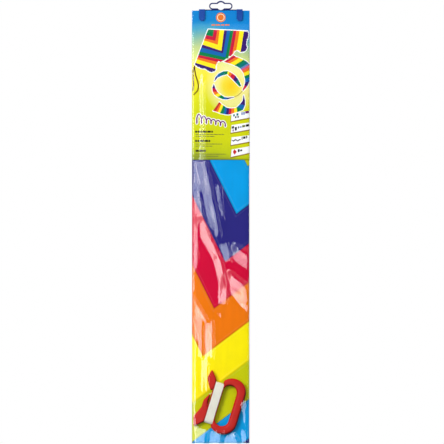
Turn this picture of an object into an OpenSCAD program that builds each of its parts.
// Single-line delta kite, folded and rolled for sale in a clear sleeve with a clip-on hanger.
// Millimetres, +Z up, X across the pack, front towards -Y.
// Origin: centre of the hanger's euro slot, in the middle of the plastic's thickness.
// Heights down the pack are given as distances below the euro slot.

/* [Sleeve] */
// Width of the pack across the sleeve
pack_w = 86.5; // [84:0.5:92]
// Distance of the sleeve's top edge below the euro slot
pack_top = 6.65; // [6.4:0.05:7]
// Distance of the sleeve's open foot below the euro slot
pack_foot = 660.9; // [660:0.1:668]
// Thickness of the clear film
film_t = 0.2; // [0.15:0.05:0.25]
// Depth of the front film from the middle plane, where the rolled sail fills it
bulge_front = 6.4; // [6.3:0.1:7]
// Depth of the front film over the winder
bulge_foot = 14.6; // [14.6:0.1:16]
// Depth of the back film from the middle plane
bulge_back = 5.6; // [5.5:0.1:6.5]

/* [Header card] */
// Distance of the card's bottom edge below the euro slot
card_foot = 232.5; // [180:0.5:260]
// Thickness of the card
card_t = 0.4; // [0.3:0.05:0.45]

/* [Hanger] */
// Thickness of the hanger's plastic
hanger_t = 1.2; // [1:0.1:1.4]
// Width of the strip behind the pack
strip_w = 66; // [62:0.5:70]
// Euro slot's length
slot_l = 31.8; // [31:0.1:32.5]
// Euro slot's height
slot_h = 6.6; // [6:0.1:7]
// Radius of the round opening in the middle of the slot
slot_eye_r = 5.8; // [5.4:0.1:6]
// Width of a front leg
leg_w = 9; // [8:0.5:10]
// Distance of a leg's rounded end below the euro slot
leg_foot = 22.6; // [21:0.1:23]

/* [Sail] */
// Width of the rolled sail
roll_w = 84.5; // [82:0.1:84.5]
// Distance of the roll's top edge below the euro slot
roll_top = 45; // [45:0.5:60]
// Distance of the roll's foot below the euro slot
roll_foot = 657.5; // [650:0.5:658]
// Depth of the roll's front face from the middle plane
roll_front = 5.2; // [5:0.1:5.2]
// Depth of the roll's back face from the middle plane
roll_back = 4.9; // [4.8:0.1:4.9]
// Thickness of one wrap of the sail
wrap_t = 0.6; // [0.4:0.05:0.6]

/* [Spars] */
// Diameter of a fibreglass spar
spar_d = 4; // [3.5:0.1:4]
// Length of the spine with its caps
spine_l = 603; // [560:1:603]
// Length of a leading-edge spar with its caps
edge_l = 482; // [440:1:482]
// Length of the cross spar with its caps
cross_l = 384; // [340:1:384]
// Outside diameter of an end cap
cap_d = 6.4; // [6:0.1:6.4]

/* [Winder] */
// Tilt of the winder in the pack, top to the right
winder_tilt = 17; // [16:0.5:18]
// Thickness of the D grip
grip_t = 7; // [6:0.5:7]
// Thickness of the horns
horn_t = 5; // [4:0.5:5]
// Thickness of the core plate that carries the line
core_t = 3; // [2.5:0.5:3]
// Thickness of the wound line over the core
coil_t = 8.4; // [7:0.1:8.4]

/* [Hidden] */
$fn = 48;

// Middle plane of the pack, just in front of the hanger strip
mid_y = -1.3;
// The front film lies flat under the hanger's legs down to here, then swells to here
pinch_end = 23;
swell_end = 44;
// The front film swells again from here to here, over the winder
foot_swell_start = 430;
foot_swell_end = 535;
// Depth of each film and of the card from the middle plane, where the hanger clamps them
pinch_front = 1.0;
pinch_back = 0.35;
card_inset = 0.4;
// Snap studs of the legs
stud_x = strip_w/2 - leg_w/2;
stud_z = -14.3;
stud_r = 1.8;
stud_clearance = 0.25;
film_hole_r = 2.5;
leg_gap = 0.4;
leg_back_y = mid_y - pinch_front - leg_gap;
hinge_gap = 0.15;
hinge_top_z = -5.0;
strip_top_z = -5.1;
strip_foot_z = -19;
loop_bar = 1.8;
eye_bar = 2.2;
// Spars, left to right, all with their feet near the roll's foot
spar_r = spar_d/2;
spar_foot = roll_foot - 2.5;
edge_x = 15;
spine_x = -5;
cross_x = 5;
cap_bore_l = 10;
socket_height = 190;
fit = 0.02;
// Winder's core centre
winder_x = -9.4;
winder_z = -597.7;
winder_y = mid_y - 9.8;
core_left = -6.6;
core_right = 6;
core_top = 27.2;
core_foot = -29.8;
coil_over = coil_t/2 - core_t/2 + 0.7;

// 0 to 1, easing in and out
function ease(t) = let (u = max(0, min(1, t))) u*u*(3 - 2*u);

// Depth of the front film's outer face at distance s below the slot
function front_depth(s) =
    pinch_front
    + (bulge_front - pinch_front)*ease((s - pinch_end)/(swell_end - pinch_end))
    + (bulge_foot - bulge_front)*ease((s - foot_swell_start)/(foot_swell_end - foot_swell_start));

// Depth of the back film's outer face
function back_depth(s) =
    pinch_back + (bulge_back - pinch_back)*ease((s - pinch_end)/(swell_end - pinch_end));

// Squareness of the section's corners, higher over the winder
function squareness(s) = 6 + 6*ease((s - foot_swell_start)/(foot_swell_end - foot_swell_start));

function signed_pow(v, p) = sign(v)*pow(abs(v), p);

// Point of a half section: half-width w, depth d, squareness n, at angle a from the middle
function section_point(w, d, n, a) = [w*signed_pow(sin(a), 2/n), -d*signed_pow(cos(a), 2/n)];

// Angles across a half section, closer together near the middle
function section_angles(count, a_max) = [
    for (i = [0:count]) let (t = 2*i/count - 1) a_max*sign(t)*t*t
];

// Curved sheet of thickness t through rows of [distance below slot, half-width, depth, squareness]
module curved_sheet(rows, t, a_max = 90, count = 20) {
    angles = section_angles(count, a_max);
    last = len(rows) - 1;
    across = count + 1;
    function skin(inset) = [
        for (r = rows) for (a = angles)
            let (p = section_point(r[1] - inset, r[2] - inset, r[3], a)) [p[0], p[1], -r[0]]
    ];
    function o(i, j) = j*across + i;
    function q(i, j) = across*(last + 1) + o(i, j);
    polyhedron(
        points = concat(skin(0), skin(t)),
        faces = concat(
            [for (j = [0:last - 1]) for (i = [0:count - 1]) [o(i, j), o(i + 1, j), o(i + 1, j + 1)]],
            [for (j = [0:last - 1]) for (i = [0:count - 1]) [o(i, j), o(i + 1, j + 1), o(i, j + 1)]],
            [for (j = [0:last - 1]) for (i = [0:count - 1]) [q(i, j), q(i + 1, j + 1), q(i + 1, j)]],
            [for (j = [0:last - 1]) for (i = [0:count - 1]) [q(i, j), q(i, j + 1), q(i + 1, j + 1)]],
            [for (i = [0:count - 1]) [o(i + 1, 0), o(i, 0), q(i, 0)]],
            [for (i = [0:count - 1]) [o(i + 1, 0), q(i, 0), q(i + 1, 0)]],
            [for (i = [0:count - 1]) [o(i, last), o(i + 1, last), q(i + 1, last)]],
            [for (i = [0:count - 1]) [o(i, last), q(i + 1, last), q(i, last)]],
            [for (j = [0:last - 1]) [o(0, j), o(0, j + 1), q(0, j + 1)]],
            [for (j = [0:last - 1]) [o(0, j), q(0, j + 1), q(0, j)]],
            [for (j = [0:last - 1]) [o(count, j + 1), o(count, j), q(count, j)]],
            [for (j = [0:last - 1]) [o(count, j + 1), q(count, j), q(count, j + 1)]]
        )
    );
}

// Distances below the slot at which a sheet between s0 and s1 gets a row
function stations(s0, s1) = [
    for (s = concat(
        [s0],
        [for (k = [0:7]) pinch_end + k*(swell_end - pinch_end)/7],
        [140, 240, 340],
        [for (k = [0:10]) foot_swell_start + k*(foot_swell_end - foot_swell_start)/10],
        [600],
        [s1]
    )) if (s == s0 || s == s1 || (s > s0 + 2 && s < s1 - 2)) s
];

// Bar of width w from height z0 to z1 with corners of radius r, drawn in the X-Z plane
module rounded_bar(w, z0, z1, r) {
    translate([-w/2 + r, z0]) square([w - 2*r, z1 - z0]);
    translate([-w/2, z0 + r]) square([w, z1 - z0 - 2*r]);
    for (x = [-w/2 + r, w/2 - r], z = [z0 + r, z1 - r]) translate([x, z]) circle(r);
}

// Slot outline of length l and height h
module slot_outline(l, h) {
    square([l - h, h], center = true);
    for (side = [-1, 1]) translate([side*(l - h)/2, 0]) circle(h/2);
}

// Stands a drawing up in the X-Z plane, t thick about y = 0
module upright(t) {
    rotate([90, 0, 0]) translate([0, 0, -t/2]) linear_extrude(t) children();
}

// Clears the studs' holes through whatever lies between legs and strip
module stud_holes(r) {
    for (side = [-1, 1]) translate([side*stud_x, 0, stud_z])
        rotate([90, 0, 0]) cylinder(r = r, h = 12, center = true);
}

module hanger_strip() {
    color([0.10, 0.17, 0.50]) difference() {
        upright(hanger_t) {
            difference() {
                union() {
                    rounded_bar(strip_w, strip_foot_z, strip_top_z, 1.5);
                    slot_outline(slot_l + 2*loop_bar, slot_h + 2*loop_bar);
                    circle(slot_eye_r + eye_bar);
                }
                slot_outline(slot_l, slot_h);
                circle(slot_eye_r);
            }
        }
        stud_holes(stud_r + stud_clearance);
    }
}

// One front leg at the middle of X: bridge over the pack's top edge, leg and snap stud
module hanger_leg() {
    color([0.10, 0.17, 0.50]) {
        translate([0, leg_back_y - hanger_t/2, 0]) upright(hanger_t) {
            translate([-leg_w/2, -leg_foot + leg_w/2])
                square([leg_w, leg_foot - leg_w/2 + hinge_top_z]);
            translate([0, -leg_foot + leg_w/2]) circle(leg_w/2);
        }
        translate([-leg_w/2, leg_back_y - 0.1, hinge_top_z - hanger_t])
            cube([leg_w, -hanger_t/2 - hinge_gap - leg_back_y + 0.1, hanger_t]);
        translate([0, leg_back_y - 0.1, stud_z])
            rotate([-90, 0, 0]) cylinder(r = stud_r, h = -leg_back_y + 0.3);
    }
}

module hanger_leg_left() {
    translate([-stud_x, 0, 0]) hanger_leg();
}

module hanger_leg_right() {
    translate([stud_x, 0, 0]) hanger_leg();
}

module sleeve_front() {
    color([0.85, 0.92, 0.97, 0.35]) difference() {
        translate([0, mid_y, 0]) curved_sheet(
            [for (s = stations(pack_top, pack_foot)) [s, pack_w/2, front_depth(s), squareness(s)]],
            film_t
        );
        stud_holes(film_hole_r);
    }
}

module sleeve_back() {
    color([0.80, 0.88, 0.95, 0.35]) difference() {
        translate([0, mid_y, 0]) mirror([0, 1, 0]) curved_sheet(
            [for (s = stations(pack_top, pack_foot)) [s, pack_w/2, back_depth(s), 6]],
            film_t
        );
        stud_holes(film_hole_r);
    }
}

module header_card() {
    color([0.80, 0.85, 0.10]) difference() {
        translate([0, mid_y, 0]) curved_sheet(
            [for (s = stations(pack_top + 0.2, card_foot))
                [s, pack_w/2 - film_t - 0.3, front_depth(s) - card_inset, 6]],
            card_t,
            a_max = 80
        );
        stud_holes(film_hole_r);
    }
}

module sail_front_wrap() {
    color([0.83, 0.05, 0.22]) translate([0, mid_y, 0]) curved_sheet(
        [for (s = [roll_top, 250, 450, roll_foot]) [s, roll_w/2, roll_front, 6]],
        wrap_t
    );
}

module sail_back_wrap() {
    color([0.93, 0.47, 0.05]) translate([0, mid_y, 0]) mirror([0, 1, 0]) curved_sheet(
        [for (s = [roll_top, 250, 450, roll_foot]) [s, roll_w/2, roll_back, 6]],
        wrap_t
    );
}

// Pleats of the sail: layers of cloth joined at alternate ends, w wide in X, centred in Y
module pleats(w, layers, pitch, t) {
    for (k = [0:layers - 1]) translate([0, (k - (layers - 1)/2)*pitch - t/2]) square([w, t]);
    for (k = [0:layers - 2]) translate([k % 2 == 0 ? w - t : 0, (k - (layers - 1)/2)*pitch])
        square([t, pitch]);
}

module inner_folds() {
    translate([0, mid_y, -roll_foot + 4]) linear_extrude(roll_foot - roll_top - 8)
        translate([28.5, 0]) pleats(10.6, 5, 1.35, 0.5);
}

module sail_inner_folds_left() {
    color([1.0, 0.92, 0.0]) mirror([1, 0, 0]) inner_folds();
}

module sail_inner_folds_right() {
    color([0.0, 0.62, 0.88]) inner_folds();
}

// Coated triangle sewn on at the sail's nose, over the spine's top end
module nose_patch() {
    color([0.12, 0.12, 0.14]) translate([spine_x, mid_y - 3.95, 0]) upright(0.5)
        polygon([[-22, -92], [22, -92], [4, -50], [-4, -50]]);
}

module keel() {
    color([0.17, 0.15, 0.48]) translate([0, mid_y + 1.0, 0]) difference() {
        upright(0.5) polygon([[-27, -72], [-11, -72], [-11, -165], [-22, -150]]);
        translate([-16.5, 0, -148]) rotate([90, 0, 0]) cylinder(r = 2.8, h = 4, center = true);
    }
}

module tow_eyelet() {
    color([0.75, 0.70, 0.55]) translate([-16.5, mid_y + 1.0, -148]) rotate([90, 0, 0])
        difference() {
            union() {
                cylinder(r = 2.75, h = 1.6, center = true);
                for (side = [-1, 1]) translate([0, 0, side*0.55])
                    cylinder(r = 4.3, h = 0.5, center = true);
            }
            cylinder(r = 2.2, h = 4, center = true);
        }
}

// Ribbon folded to and fro into a flat hank
module tail_streamer() {
    color([0.95, 0.55, 0.10]) translate([2, mid_y, -165]) rotate([90, 0, 90])
        linear_extrude(25) rotate(90) pleats(100, 9, 0.65, 0.35);
}

// Rod of length l with its foot at height z0, shortened by the caps' domed ends
module rod(l) {
    translate([0, 0, cap_d/2]) cylinder(r = spar_r, h = l - cap_d);
}

// Domed vinyl cap, open upwards, its dome's lowest point at z = 0
module cap() {
    difference() {
        union() {
            translate([0, 0, cap_d/2]) cylinder(d = cap_d, h = cap_bore_l);
            translate([0, 0, cap_d/2]) sphere(d = cap_d);
        }
        translate([0, 0, cap_d/2]) cylinder(r = spar_r + fit, h = cap_bore_l + 1);
    }
}

module caps(l) {
    cap();
    translate([0, 0, l]) mirror([0, 0, 1]) cap();
}

// Vinyl sleeve on a leading-edge spar with a side tube for the cross spar, side tube towards +X
module spreader_socket() {
    difference() {
        union() {
            cylinder(r = 3.3, h = 22);
            translate([0, 0, 11]) rotate([0, 90, 0]) cylinder(r = 3.2, h = 12.4);
        }
        translate([0, 0, -1]) cylinder(r = spar_r + fit, h = 24);
        translate([4.4, 0, 11]) rotate([0, 90, 0]) cylinder(r = spar_r + fit, h = 9);
    }
}

module place_spar(x) {
    translate([x, mid_y, -spar_foot]) children();
}

module spine_spar() {
    color([0.90, 0.90, 0.85]) place_spar(spine_x) rod(spine_l);
}

module spine_caps() {
    color([0.10, 0.10, 0.11]) place_spar(spine_x) caps(spine_l);
}

module edge_spar_left() {
    color([0.90, 0.90, 0.85]) place_spar(-edge_x) rod(edge_l);
}

module edge_caps_left() {
    color([0.10, 0.10, 0.11]) place_spar(-edge_x) caps(edge_l);
}

module spreader_socket_left() {
    color([0.15, 0.15, 0.16]) place_spar(-edge_x) translate([0, 0, socket_height])
        mirror([1, 0, 0]) spreader_socket();
}

module edge_spar_right() {
    color([0.90, 0.90, 0.85]) place_spar(edge_x) rod(edge_l);
}

module edge_caps_right() {
    color([0.10, 0.10, 0.11]) place_spar(edge_x) caps(edge_l);
}

module spreader_socket_right() {
    color([0.15, 0.15, 0.16]) place_spar(edge_x) translate([0, 0, socket_height])
        spreader_socket();
}

module cross_spar() {
    color([0.90, 0.90, 0.85]) place_spar(cross_x) rod(cross_l);
}

module cross_caps() {
    color([0.10, 0.10, 0.11]) place_spar(cross_x) caps(cross_l);
}

// Puts a winder drawn with its core upright at the origin in its tilted place, front towards -Y
module place_winder() {
    translate([winder_x, winder_y, winder_z]) rotate([0, winder_tilt, 0]) children();
}

// Point k of a rounded loop of 2*steps + 2 points: centre x, arc centres z1 above z0, radius r
function loop_point(k, steps, x, z0, z1, r) =
    k <= steps
        ? [x + r*cos(180*k/steps), z1 + r*sin(180*k/steps)]
        : [x - r*cos(180*(k - steps - 1)/steps), z0 - r*sin(180*(k - steps - 1)/steps)];

// D grip: an oval bar between an outer and an inner loop
module grip_ring() {
    steps = 26;
    sides = 28;
    count = 2*steps + 2;
    points = [
        for (k = [0:count - 1])
            let (
                outer = loop_point(k, steps, 20.9, -22.8, 21.8, 21),
                inner = loop_point(k, steps, 17.9, -21.4, 20.2, 10.5),
                middle = (outer + inner)/2,
                half = (outer - inner)/2
            )
            for (m = [0:sides - 1])
                let (
                    a = 360*m/sides,
                    reach = signed_pow(cos(a), 0.6),
                    lift = grip_t/2*signed_pow(sin(a), 0.6)
                )
                [middle[0] + half[0]*reach, lift, middle[1] + half[1]*reach]
    ];
    polyhedron(
        points = points,
        faces = concat(
            [for (k = [0:count - 1]) for (m = [0:sides - 1])
                [k*sides + m, ((k + 1) % count)*sides + (m + 1) % sides, k*sides + (m + 1) % sides]],
            [for (k = [0:count - 1]) for (m = [0:sides - 1])
                [k*sides + m, ((k + 1) % count)*sides + m, ((k + 1) % count)*sides + (m + 1) % sides]]
        )
    );
}

// Round-edged disc of radius r and thickness t at [x, z], for the horns' hulls
module pebble(x, z, r, t) {
    edge = min(r, t/2)*0.8;
    translate([x, 0, z]) rotate([90, 0, 0]) rotate_extrude($fn = 28) polygon(concat(
        [[0, -t/2]],
        [for (a = [-90:30:90]) [
            r - edge + edge*cos(a),
            sign(a)*(t/2 - edge) + edge*sin(a)
        ]],
        [[0, t/2]]
    ));
}

module horns() {
    hull() {
        pebble(-17.2, 43.6, 1.3, horn_t - 1);
        pebble(-14.6, 33.0, 6.3, horn_t);
        pebble(-9.9, 31.5, 3.2, horn_t);
    }
    hull() {
        pebble(-14.6, 33.0, 6.3, horn_t);
        pebble(-9.9, 31.5, 3.2, horn_t);
        pebble(-10.4, 18.5, 2.6, horn_t);
    }
    hull() {
        pebble(-10.6, 8.2, 1.1, horn_t - 1);
        pebble(-13.2, -2.0, 3.6, horn_t);
    }
    hull() {
        pebble(-13.2, -2.0, 3.6, horn_t);
        pebble(-12.0, -13, 4.8, horn_t);
        pebble(-10.0, -13, 3, horn_t);
    }
    hull() {
        pebble(-12.0, -13, 4.8, horn_t);
        pebble(-20.6, -30, 3.6, horn_t);
        pebble(-10.0, -32, 3, horn_t);
    }
    hull() {
        pebble(-20.6, -30, 3.6, horn_t);
        pebble(-18.8, -42, 1.6, horn_t - 1);
        pebble(-10.0, -32, 3, horn_t);
    }
}

module winder_frame() {
    color([0.76, 0.13, 0.11]) place_winder() {
        difference() {
            grip_ring();
            translate([-10, -5, -50]) cube([14.5, 10, 100]);
            translate([-10, -5, core_foot - coil_over]) cube([16.2, 10, core_top - core_foot + 2*coil_over]);
        }
        translate([core_left - 0.8, -core_t/2, core_foot])
            cube([14, core_t, core_top - core_foot]);
        translate([6.2, -2.9, -29]) cube([1.3, 5.8, 56.5]);
        translate([-8.1, -2.4, -32]) cube([1.3, 4.8, 62]);
        horns();
    }
}

// Line wound lengthwise over the core: one band with round ends
module flying_line() {
    color([0.96, 0.96, 0.93]) place_winder() {
        translate([core_left + 0.05, 0, 0]) rotate([90, 0, 90])
            linear_extrude(core_right - core_left - 0.1) difference() {
                union() {
                    translate([-coil_t/2, core_foot - coil_over + coil_t/2])
                        square([coil_t, core_top - core_foot + 2*coil_over - coil_t]);
                    for (z = [core_foot - coil_over + coil_t/2, core_top + coil_over - coil_t/2])
                        translate([0, z]) circle(coil_t/2);
                }
                translate([-core_t/2 - fit, core_foot - fit])
                    square([core_t + 2*fit, core_top - core_foot + 2*fit]);
            }
    }
}

hanger_strip();
hanger_leg_left();
hanger_leg_right();
sleeve_front();
sleeve_back();
header_card();
sail_front_wrap();
sail_back_wrap();
sail_inner_folds_left();
sail_inner_folds_right();
nose_patch();
keel();
tow_eyelet();
tail_streamer();
spine_spar();
spine_caps();
edge_spar_left();
edge_caps_left();
spreader_socket_left();
edge_spar_right();
edge_caps_right();
spreader_socket_right();
cross_spar();
cross_caps();
winder_frame();
flying_line();
